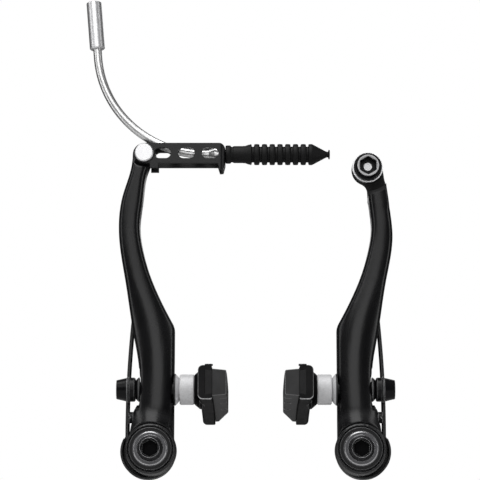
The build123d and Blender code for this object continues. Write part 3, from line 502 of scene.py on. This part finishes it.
def black_oxide(colours):
    """Dark screws, with a brushed face and turning marks on the pivot bolts, and painted highlights along
    every edge and on a ring round each pivot bolt's face.
    """
    shade = new_shade("black_oxide")
    radius = shade.pivot_radius()
    smudge = shade.noise(scale=240, detail=3)
    wander = shade.noise(scale=90, detail=1) * (0.12 * MM)
    groove = (radius + wander).wave(BOLT_GROOVE)
    # Painted highlights: a light ring round each pivot bolt's face, and light lines along every edge
    bolt_highlight = radius.band(BOLT_HIGHLIGHT_R, half=0.3 * MM) * (0.55 + smudge) + shade.rubbed(EDGE_R) * 0.6
    brushed = radius.above(BOLT_SOCKET_R, soft=0.11 * MM) * radius.below(BOLT_FACE_R, soft=0.11 * MM)
    brushed_face = shade.blend(smudge, colours.oxide_face, lighter(colours.oxide_face, 2.2))
    face = shade.blend(brushed, colours.oxide, brushed_face)
    deep = shade.part("Y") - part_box("left_pivot_bolt")[0][1]
    socket = radius.below(BOLT_SOCKET_R, soft=0.05 * MM) * deep.above(BOLT_SOCKET_TOP, soft=0.2 * MM)
    shade.set(
        base_color=shade.blend(bolt_highlight.clip(), face, colours.oxide_highlight),
        metallic=(bolt_highlight * 0.3 + brushed * 0.7).clip(),
        roughness=0.2 + smudge * 0.08 + groove * 0.04 + socket * 0.65,
        normal=shade.bump(groove, distance=0.006 * MM, strength=0.3, edge=EDGE_R),
        specular_ior_level=0.14,
    )
    return shade.data


def anchor_steel(colours):
    """The cable clamp's bolt: black sides, a bright face round the key hole and a bright floor in it."""
    shade = new_shade("anchor_steel")
    centre = middle("anchor_bolt")
    deep = shade.part("Y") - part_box("anchor_bolt")[0][1]
    radius = shade.radius(centre.x, centre.z)
    across = shade.part("X") - centre.x
    up = (shade.part("Z") - centre.z) * sin(pi / 3)
    key = abs(across).most(abs(across * 0.5 + up)).most(abs(across * 0.5 - up))
    smudge = shade.noise(scale=300, detail=3)
    face = deep.below(CLAMP_FACE_DEPTH, soft=0.05 * MM) * radius.below(CLAMP_FACE_R, soft=0.11 * MM)
    face *= key.above(CLAMP_KEY_HALF, soft=0.083 * MM)
    floor = radius.below(CLAMP_FLOOR_R, soft=0.05 * MM)
    dark = shade.blend(smudge, colours.oxide, lighter(colours.oxide, 1.8))
    bare = (face * 0.55 + floor).clip()
    shade.set(
        base_color=shade.blend(bare, dark, colours.bright),
        metallic=bare * 0.5,
        roughness=0.24 + smudge * 0.1 + radius.wave(CLAMP_GROOVE) * 0.05,
        specular_ior_level=0.12,
    )
    return shade.data


def coated_sheet(colours):
    """Satin black paint on the folded link."""
    shade = new_shade("coated_sheet")
    grain = shade.noise(scale=1900, detail=2)
    rub = shade.ramped(shade.noise(scale=160, detail=4), (0.5, 0), (0.8, 1))
    shade.set(
        base_color=shade.blend(rub, colours.sheet, lighter(colours.sheet, 1.8)),
        roughness=0.3 + grain * 0.1,
        normal=shade.bump(grain, distance=0.008 * MM, strength=0.25),
        specular_ior_level=0.3,
    )
    return shade.data


def black_rubber(colours):
    """Matte rubber with a dusty bloom and a fine skin."""
    shade = new_shade("black_rubber")
    bloom = shade.ramped(shade.noise(scale=130, detail=5), (0.4, 0), (0.75, 1))
    skin = shade.noise(scale=3200, detail=3)
    shade.set(
        base_color=shade.blend(bloom, colours.rubber, lighter(colours.rubber, 1.7)),
        roughness=0.5 + bloom * 0.08 + skin * 0.08,
        normal=shade.bump(skin, distance=0.015 * MM, strength=0.3, edge=EDGE_R),
        specular_ior_level=0.2,
    )
    return shade.data


def pad_dust(shade):
    """Dusty bloom and fine skin of the pads and their holders."""
    bloom = shade.ramped(shade.noise(scale=130, detail=5), (0.35, 0), (0.75, 1))
    return bloom, shade.noise(scale=2600, detail=3)


def pad_seam(shade):
    """Distance from the seam between a pad and its holder, growing towards the arm."""
    return abs(shade.part("X")) - min(abs(corner[0]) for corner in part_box("left_shoe_holder"))


def pad_rubber(colours):
    """Dusty black rubber with painted highlights along its edges, in the holder's colours where the holder
    grips it.
    """
    shade = new_shade("pad_rubber")
    bloom, skin = pad_dust(shade)
    out = pad_seam(shade)
    face = shade.blend(bloom, colours.pad, lighter(colours.pad, 1.6))
    # Painted highlights along the pad's edges
    edge_highlighted = shade.blend(shade.rubbed(PAD_EDGE_R), face, colours.edge)
    # The gripped part takes the holder's colours, with its near end painted lighter
    held = shade.blend(0.4 + bloom * 0.6, colours.holder, colours.holder_lit_end)
    body = shade.blend(out.above(-PAD_SEAM, soft=0.2 * MM), edge_highlighted, held)
    shade.set(
        base_color=shade.blend(out.band(-PAD_SEAM / 3, half=PAD_SEAM), body, colours.holder),
        roughness=0.5 + bloom * 0.08 + skin * 0.08,
        normal=shade.bump(skin, distance=0.012 * MM, strength=0.3, edge=EDGE_R),
        specular_ior_level=0.18,
    )
    return shade.data


def pad_holder(colours):
    """Satin black holder of a pad: a near end painted lighter than the underside and mottled like dust, a
    painted highlight on the ledge under it, and painted highlights along the edges at the back.
    """
    shade = new_shade("pad_holder")
    bloom, skin = pad_dust(shade)
    from_end = shade.part("Y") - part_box("left_shoe_holder")[0][1]
    # Painted light: the near end face is lighter than the underside, mottled by the dust
    end = from_end.below(HOLDER_END_DEPTH, soft=0.5 * MM)
    face = shade.blend(end * (0.4 + bloom * 0.6), colours.holder, colours.holder_lit_end)
    # Painted highlights along the holder's back edges
    back = shade.rubbed(PAD_EDGE_R) * pad_seam(shade).above(HOLDER_BACK, soft=0.2 * MM)
    low = shade.part("Z").below(middle("left_shoe_stud").z - LEDGE_DROP, soft=0.2 * MM)
    near = from_end.below(LEDGE_REACH, soft=0.5 * MM)
    # Painted highlight on the lower edge of the holder's near end, in the spacers' colour
    ledge = shade.rubbed(LEDGE_EDGE_R) * shade.facing_down(LEDGE_EDGE_R) * low * near
    edge_highlighted = shade.blend(back, face, colours.edge)
    shade.set(
        base_color=shade.blend(ledge, edge_highlighted, colours.spacer_and_ledge_highlight),
        roughness=0.38 + bloom * 0.08 + skin * 0.08,
        normal=shade.bump(skin, distance=0.012 * MM, strength=0.3, edge=EDGE_R),
        specular_ior_level=0.02,
    )
    return shade.data


def moulded_plastic(colours):
    """Matte black moulded plastic."""
    shade = new_shade("moulded_plastic")
    grain = shade.noise(scale=2200, detail=3)
    shade.set(
        base_color=shade.blend(grain, colours.plastic, lighter(colours.plastic, 1.5)),
        roughness=0.42 + grain * 0.14,
        normal=shade.bump(grain, distance=0.015 * MM, strength=0.4, edge=EDGE_R),
    )
    return shade.data


def liner_plastic(colours):
    """Pale slippery plastic."""
    shade = new_shade("liner_plastic")
    cloud = shade.noise(scale=300, detail=2)
    shade.set(
        base_color=shade.blend(cloud, colours.liner, lighter(colours.liner, 0.9)),
        roughness=0.3 + cloud * 0.1,
    )
    return shade.data


def metal(name, colour, rough, streak, metallic=1.0, depth=0.0, lift=0.88):
    """A bare metal with drawn streaks.

    streak scales the coordinates along X, Y and Z, depth is the streaks' height, and lift multiplies the
    colour in the metal's clouds.
    """
    shade = new_shade(name)
    brush = shade.noise(scale=1, detail=3, rough=0.6, vector=shade.stretched(*streak))
    cloud = shade.noise(scale=85, detail=3)
    shade.set(
        base_color=shade.blend(cloud, colour, lighter(colour, lift)),
        metallic=metallic,
        roughness=rough + brush * 0.06 + cloud * 0.04,
    )
    if depth:
        shade.set(normal=shade.bump(brush, distance=depth, strength=0.3))
    return shade.data


def spacer_alloy(colours):
    """Speckled grey of the cup spacers and dome washers, with painted shade where they meet the arms."""
    shade = new_shade("spacer_alloy")
    speckle = shade.ramped(shade.noise(scale=2400, detail=2), (0.35, 0), (0.7, 1))
    seat = max(abs(corner[0]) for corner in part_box("left_inner_dome_washer"))
    # Painted shade: the washers turn dark where they meet the arms
    seam = abs(shade.part("X")).above(seat - SPACER_SHADE, soft=0.25 * MM)
    grey = shade.blend(speckle, colours.spacer_and_ledge_highlight, lighter(colours.spacer_and_ledge_highlight, 0.82))
    shade.set(
        base_color=shade.blend(seam, grey, colours.oxide),
        metallic=0.15,
        roughness=0.48 + speckle * 0.1,
        normal=shade.bump(speckle, distance=0.01 * MM, strength=0.3),
    )
    return shade.data


def slot_finishes(colours):
    """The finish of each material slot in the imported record."""
    turned_streak, wire_streak = (900, 6000, 900), (3000, 3000, 300)
    plated_streak, sleeve_streak, pipe_streak = (1400, 300, 1400), (1500, 1500, 300), (160, 160, 160)
    return {
        "arm_alloy": anodised_black(colours),
        "link_black": coated_sheet(colours),
        "black_steel": black_oxide(colours),
        "bush_steel": metal("turned_steel", colours.turned, 0.3, turned_streak, depth=STREAK_DEPTH),
        "bright_steel": metal("bright_steel", colours.bright, 0.26, plated_streak),
        "anchor_steel": anchor_steel(colours),
        "washer_alloy": spacer_alloy(colours),
        "spring_wire": metal(
            "spring_wire", colours.wire, 0.26, wire_streak, metallic=0.0, depth=STREAK_DEPTH, lift=1.6
        ),
        "black_plastic": moulded_plastic(colours),
        "liner_plastic": liner_plastic(colours),
        "rubber": black_rubber(colours),
        "polished_steel": metal("polished_steel", colours.polished, 0.3, pipe_streak),
        "ferrule_alloy": metal("ferrule_alloy", colours.ferrule, 0.36, sleeve_streak),
    }


def own_finishes(colours, slots):
    """The finish of each kind of piece that doesn't take the one of its slot."""
    return {
        "pad_rubber": pad_rubber(colours),
        "shoe_holder": pad_holder(colours),
        "nut_washer": slots["black_steel"],
        "shoe_stud": slots["black_steel"],
    }


def dress(mesh, material):
    """Give a mesh one material."""
    mesh.materials.clear()
    mesh.materials.append(material)


class BRAKE_OT_finishes(bpy.types.Operator):
    """Give every piece its finish"""

    bl_idname = "brake.finishes"
    bl_label = "Finishes"

    def execute(self, context):
        colours = context.scene.brake_colours
        slots = slot_finishes(colours)
        own = own_finishes(colours, slots)
        for entry in frame["record"]["subparts"]:
            node = entry["node"]
            kind = node.split("_", 1)[1]
            dress(frame["nodes"][node].data, own.get(kind, slots[entry["material_slot"]]))
        for piece in context.scene.objects:
            if "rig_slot" in piece:
                dress(piece.data, slots[piece["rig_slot"]])
        return {"FINISHED"}


# Meshes

def skinned(name, rings, loop=False):
    """A piece of quads through rings of points, as a closed loop of rings or a run with closed ends."""
    shape = bmesh.new()
    skins = [[shape.verts.new(point) for point in ring] for ring in rings]
    count = len(skins[0])
    for first, second in zip(skins, skins[1:] + skins[:1] if loop else skins[1:]):
        for index in range(count):
            after = (index + 1) % count
            shape.faces.new((first[index], first[after], second[after], second[index]))
    if not loop:
        shape.faces.new(skins[0])
        shape.faces.new(skins[-1])
    bmesh.ops.recalc_face_normals(shape, faces=shape.faces)
    return finished(name, shape, SHARP_TURNED)


def finished(name, shape, sharp):
    """A smooth piece from a bmesh, with edges above an angle kept sharp."""
    mesh = bpy.data.meshes.new(name)
    shape.to_mesh(mesh)
    shape.free()
    mesh.shade_smooth()
    mesh.set_sharp_from_angle(angle=sharp)
    piece = bpy.data.objects.new(name, mesh)
    bpy.context.collection.objects.link(piece)
    return piece


def circles(path, radii, sides):
    """Rings of points round a path, one for each of its points."""
    across = Vector((0, 1, 0)).cross(path[1] - path[0])
    if across.length < (path[1] - path[0]).length / 2:
        across = Vector((1, 0, 0))
    rings = []
    for index, point in enumerate(path):
        ahead = path[min(index + 1, len(path) - 1)] - path[max(index - 1, 0)]
        along = ahead.normalized()
        across = (across - along * across.dot(along)).normalized()
        up = along.cross(across)
        turns = [2 * pi * side / sides for side in range(sides)]
        rings.append([point + radii[index] * (cos(turn) * across + sin(turn) * up) for turn in turns])
    return rings


def stand_for(piece, node, slot):
    """Let a piece take the place of a CAD node, with the finish of a slot."""
    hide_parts(node)
    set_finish(piece, slot)


# Arms

def even_copy(node, size):
    """A bmesh of a CAD node with an even grid of vertices."""
    copy = bpy.data.objects.new("even_copy", frame["nodes"][node].data.copy())
    bpy.context.collection.objects.link(copy)
    grid = copy.modifiers.new("grid", "REMESH")
    grid.mode = "VOXEL"
    grid.voxel_size = size
    depsgraph = bpy.context.evaluated_depsgraph_get()
    mesh = bpy.data.meshes.new_from_object(copy.evaluated_get(depsgraph))
    shape = bmesh.new()
    shape.from_mesh(mesh)
    bpy.data.objects.remove(copy)
    bpy.data.meshes.remove(mesh)
    return shape


def soften(shape, verts, rounds):
    """Even out the places of some vertices."""
    for _ in range(rounds):
        bmesh.ops.smooth_vert(
            shape, verts=verts, factor=0.5, use_axis_x=True, use_axis_y=True, use_axis_z=True
        )


def flat_seat(shape, washer, inward, sizes):
    """Keep an arm's face clear of a dome washer over the whole slide of its pad."""
    low, high = (Vector(corner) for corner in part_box(washer))
    centre = (low + high) / 2
    half = (high.z - low.z) / 2 + sizes.seat_room
    ends = sorted((abs(low.x), abs(high.x)))
    seat = ends[1] + sizes.seat_gap if inward else ends[0] - sizes.seat_gap
    for vert in shape.verts:
        past = (seat - abs(vert.co.x)) * (1 if inward else -1)
        if not 0 < past < sizes.seat_depth:
            continue
        if abs(vert.co.y - centre.y) < half and abs(vert.co.z - centre.z) < half + sizes.pad_slide:
            vert.co.x = seat if centre.x > 0 else -seat


def fill_neck(shape, sizes):
    """Let the right arm's outer edge run straight into the round end that carries the cable clamp."""
    end = middle("anchor_bolt")
    neck = [vert for vert in shape.verts if sizes.neck_low < vert.co.z < end.z]
    outward = 0.1
    outer = [vert for vert in neck if vert.normal.x > outward]
    foot = max(vert.co.x for vert in outer if vert.co.z < sizes.neck_low + sizes.grid * 2)
    rise = end.z - sizes.neck_low
    for vert in neck:
        line = foot + (end.x + sizes.end_r - foot) * (vert.co.z - sizes.neck_low) / rise
        room = sizes.neck_fill if vert.normal.x > outward else 0
        if line - vert.co.x < room:
            vert.co.x = line
    soften(shape, outer, sizes.neck_rounds)
    blend = [vert for vert in shape.verts if sizes.neck_low < vert.co.z < sizes.neck_high]
    soften(shape, blend, sizes.neck_blend_rounds)


def forged_arm(side, sizes):
    """An arm with softened edges, and a hollow flare where its face meets the pivot eye."""
    node = side + "_arm"
    shape = even_copy(node, sizes.grid)
    pivot_x = SIDES[side] * PIVOT_X
    reach = {vert: hypot(vert.co.x - pivot_x, vert.co.z) for vert in shape.verts}
    soften(shape, [vert for vert in shape.verts if reach[vert] > sizes.flare_start], sizes.edge_rounds)
    soften(shape, [vert for vert in shape.verts if reach[vert] <= sizes.flare_start], sizes.eye_rounds)
    shape.normal_update()
    width = sizes.flare_reach - sizes.flare_start
    side_on, face_on = 0.2, 0.8
    flare = [vert for vert in shape.verts if sizes.flare_start < reach[vert] < sizes.flare_reach]
    flare = [vert for vert in flare if -vert.normal.y > side_on]
    for vert in flare:
        near = (sizes.flare_reach - reach[vert]) / width
        facing = min(1, (-vert.normal.y - side_on) / (face_on - side_on))
        vert.co.y -= sizes.flare_lift * near ** 2 * facing
    soften(shape, flare, sizes.flare_rounds)
    if side == "right":
        fill_neck(shape, sizes)
    flat_seat(shape, side + "_outer_dome_washer", inward=False, sizes=sizes)
    flat_seat(shape, side + "_inner_dome_washer", inward=True, sizes=sizes)
    piece = finished(side + "_forged_arm", shape, SHARP_FORGED)
    stand_for(piece, node, "arm_alloy")
    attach(piece, node)


class BRAKE_OT_arms(bpy.types.Operator):
    """Both forged arms"""

    bl_idname = "brake.arms"
    bl_label = "Arms"

    def execute(self, context):
        for side in SIDES:
            forged_arm(side, context.scene.brake_shapes)
        return {"FINISHED"}


# Springs

def spring_path(way, sizes):
    """Centre line of a return spring: anchor pin, bend, coil and leg.

    way is -1 on the left side and 1 on the right.
    """
    bend_r = sizes.wire_bend_r
    pin_end = bend_r - sizes.coil_back
    path = []
    for step in range(PIN_STEPS + 1):
        out = sizes.anchor_out + (pin_end - sizes.anchor_out) * step / PIN_STEPS
        path.append((0, out, sizes.coil_r))
    for step in range(1, BEND_STEPS):
        turn = pi / 2 * step / BEND_STEPS
        path.append((bend_r * (1 - cos(turn)), pin_end - bend_r * sin(turn), sizes.coil_r))
    steps = round(COIL_STEPS * sizes.coil_turns)
    first = bend_r / sizes.coil_r
    for step in range(steps + 1):
        share = step / steps
        turn = first + (2 * pi * sizes.coil_turns - first) * share
        depth = sizes.coil_back + (sizes.coil_front - sizes.coil_back) * share
        path.append((sizes.coil_r * sin(turn), -depth, sizes.coil_r * cos(turn)))
    for step in range(1, LEG_STEPS + 1):
        share = step / LEG_STEPS
        out = -sizes.coil_r + sizes.leg_in * share - sizes.leg_bow * sin(pi * share)
        path.append((out, -sizes.coil_front, sizes.leg_rise * share))
    path.append((sizes.leg_in - sizes.coil_r, -sizes.coil_front, sizes.leg_top))
    return [Vector((way * (sizes.coil_x - x), y, z)) for x, y, z in path]


def return_spring(side, sizes):
    """A spring whose coil sits on the boss and whose leg runs up the arm, built where they stand at rest."""
    way = SIDES[side]
    path = spring_path(way, sizes)
    radii = [sizes.wire_r] * len(path)
    radii[0] = radii[-1] = sizes.wire_tip_r
    piece = skinned(side + "_spring_wire", circles(path, radii, WIRE_SIDES))
    stand_for(piece, side + "_return_spring", "spring_wire")
    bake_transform(piece)


class BRAKE_OT_springs(bpy.types.Operator):
    """Both return springs"""

    bl_idname = "brake.springs"
    bl_label = "Return springs"

    def execute(self, context):
        for side in SIDES:
            return_spring(side, context.scene.brake_shapes)
        return {"FINISHED"}


# Lead pipe and boot

class BRAKE_OT_pipe(bpy.types.Operator):
    """Bent lead pipe of the cable"""

    bl_idname = "brake.pipe"
    bl_label = "Lead pipe"

    def execute(self, context):
        sizes = context.scene.brake_shapes
        path = [(sizes.pipe_start_x, 0)]
        for step in range(PIPE_STEPS + 1):
            turn = sizes.pipe_bend * step / PIPE_STEPS
            x = sizes.pipe_bend_x - sizes.pipe_bend_r * sin(turn)
            path.append((x, sizes.pipe_bend_r * (1 - cos(turn))))
        x, z = path[-1]
        neck = sizes.pipe_neck
        path.append((x - neck * cos(sizes.pipe_bend), z + neck * sin(sizes.pipe_bend)))
        path = [Vector((x, sizes.cable_y, sizes.cable_z + z)) for x, z in path]
        outer = circles(path, [sizes.pipe_r] * len(path), PIPE_SIDES)
        inner = circles(path, [sizes.pipe_bore_r] * len(path), PIPE_SIDES)
        piece = skinned("lead_pipe", outer + inner[::-1], loop=True)
        stand_for(piece, "noodle_tube", "polished_steel")
        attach(piece, "link")
        return {"FINISHED"}


def boot_profile(rings):
    """Outline of a boot with some folds, from its wide end to its tip and back through its bore."""
    profile = list(BOOT_NECK)
    for ring in range(rings):
        start = BOOT_FIRST_FOLD + ring * BOOT_FOLD_PITCH
        profile += [(start + along, radius) for along, radius in BOOT_FOLD]
    start = BOOT_TIP_START + rings * BOOT_FOLD_PITCH
    profile += [(start + along, radius) for along, radius in BOOT_TIP]
    return profile + BOOT_BORE


class BRAKE_OT_boot(bpy.types.Operator):
    """Rubber boot with rounded folds"""

    bl_idname = "brake.boot"
    bl_label = "Boot"

    def execute(self, context):
        sizes = context.scene.brake_shapes
        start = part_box("rubber_boot")[0][0]
        rings = []
        for along, radius in boot_profile(sizes.boot_rings):
            ring = []
            for side in range(BOOT_SIDES):
                turn = 2 * pi * side / BOOT_SIDES
                y = sizes.cable_y + radius * MM * cos(turn)
                ring.append(Vector((start + along * MM, y, sizes.cable_z + radius * MM * sin(turn))))
            rings.append(ring)
        piece = skinned("boot_bellows", rings, loop=True)
        stand_for(piece, "rubber_boot", "rubber")
        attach(piece, "link")
        return {"FINISHED"}


# Studio

def soft_light(name, power, size, place):
    """A rectangular studio light, aimed at the brake."""
    data = bpy.data.lights.new(name, "AREA")
    data.shape = "RECTANGLE"
    data.size, data.size_y = size
    data.energy = power
    light = bpy.data.objects.new(name, data)
    bpy.context.collection.objects.link(light)
    light.location = place
    light.rotation_euler = (Vector(LIGHT_AIM) - Vector(place)).to_track_quat("-Z", "Y").to_euler()


def studio_room(fill):
    """White to the camera, dimmer to the surfaces, so that black metal keeps its contrast."""
    shade = Shade(bpy.data.worlds.new("studio_room"), "Background")
    seen = shade.add("ShaderNodeLightPath", output="Is Camera Ray")
    strength = shade.add("ShaderNodeMix", inputs={0: seen, 2: fill, 3: 1.0})
    shade.set(color=(1, 1, 1, 1), strength=strength)
    bpy.context.scene.world = shade.data


def studio_floor(studio, colours):
    """A pale floor well below the brake."""
    mesh = bpy.data.meshes.new("floor")
    half = studio.floor_size / 2
    outline = [(-half, -half), (half, -half), (half, half), (-half, half)]
    mesh.from_pydata([(x, y, studio.floor_z) for x, y in outline], [], [(0, 1, 2, 3)])
    floor = bpy.data.objects.new("floor", mesh)
    bpy.context.collection.objects.link(floor)
    shade = new_shade("floor_paper")
    fibre = shade.noise(scale=420, detail=4)
    shade.set(base_color=shade.blend(fibre, colours.floor, lighter(colours.floor, 0.97)), roughness=0.9)
    mesh.materials.append(shade.data)


class BRAKE_OT_studio(bpy.types.Operator):
    """Floor, lights and camera"""

    bl_idname = "brake.studio"
    bl_label = "Studio"

    def execute(self, context):
        studio = context.scene.brake_studio
        studio_room(studio.fill)
        studio_floor(studio, context.scene.brake_colours)
        for name, power, size, place in LIGHTS:
            soft_light(name, getattr(studio, power), size, place)
        data = bpy.data.cameras.new("camera")
        data.lens = studio.camera_lens
        data.sensor_width = SENSOR_WIDTH
        data.shift_x = studio.camera_shift
        camera = bpy.data.objects.new("camera", data)
        camera.location = (0, -studio.camera_y, studio.camera_z)
        camera.rotation_euler = (pi / 2 + studio.camera_tilt, 0, 0)
        context.collection.objects.link(camera)
        context.scene.camera = camera
        context.scene.view_settings.view_transform = "Standard"
        return {"FINISHED"}


class BRAKE_PT_sidebar(bpy.types.Panel):
    """Tools of the brake"""

    bl_idname = "BRAKE_PT_sidebar"
    bl_label = "V-Brake"
    bl_space_type = "VIEW_3D"
    bl_region_type = "UI"
    bl_category = "V-Brake"

    def draw(self, context):
        for operator in OPERATORS:
            self.layout.operator(operator.bl_idname)
        for name in GROUPS:
            group = getattr(context.scene, name)
            for key in group.__annotations__:
                self.layout.prop(group, key)


OPERATORS = (
    BRAKE_OT_arms,
    BRAKE_OT_springs,
    BRAKE_OT_pipe,
    BRAKE_OT_boot,
    BRAKE_OT_finishes,
    BRAKE_OT_studio,
)
GROUPS = {"brake_colours": BrakeColours, "brake_shapes": BrakeShapes, "brake_studio": BrakeStudio}


def register():
    for cls in (*GROUPS.values(), *OPERATORS, BRAKE_PT_sidebar):
        bpy.utils.register_class(cls)
    for key, group in GROUPS.items():
        setattr(bpy.types.Scene, key, PointerProperty(type=group))


def unregister():
    for key in GROUPS:
        delattr(bpy.types.Scene, key)
    for cls in (BRAKE_PT_sidebar, *reversed(OPERATORS), *GROUPS.values()):
        bpy.utils.unregister_class(cls)


def main():
    register()
    bpy.ops.brake.arms()
    bpy.ops.brake.springs()
    bpy.ops.brake.pipe()
    bpy.ops.brake.boot()
    bpy.ops.brake.finishes()
    bpy.ops.brake.studio()


if __name__ == "__main__":
    main()
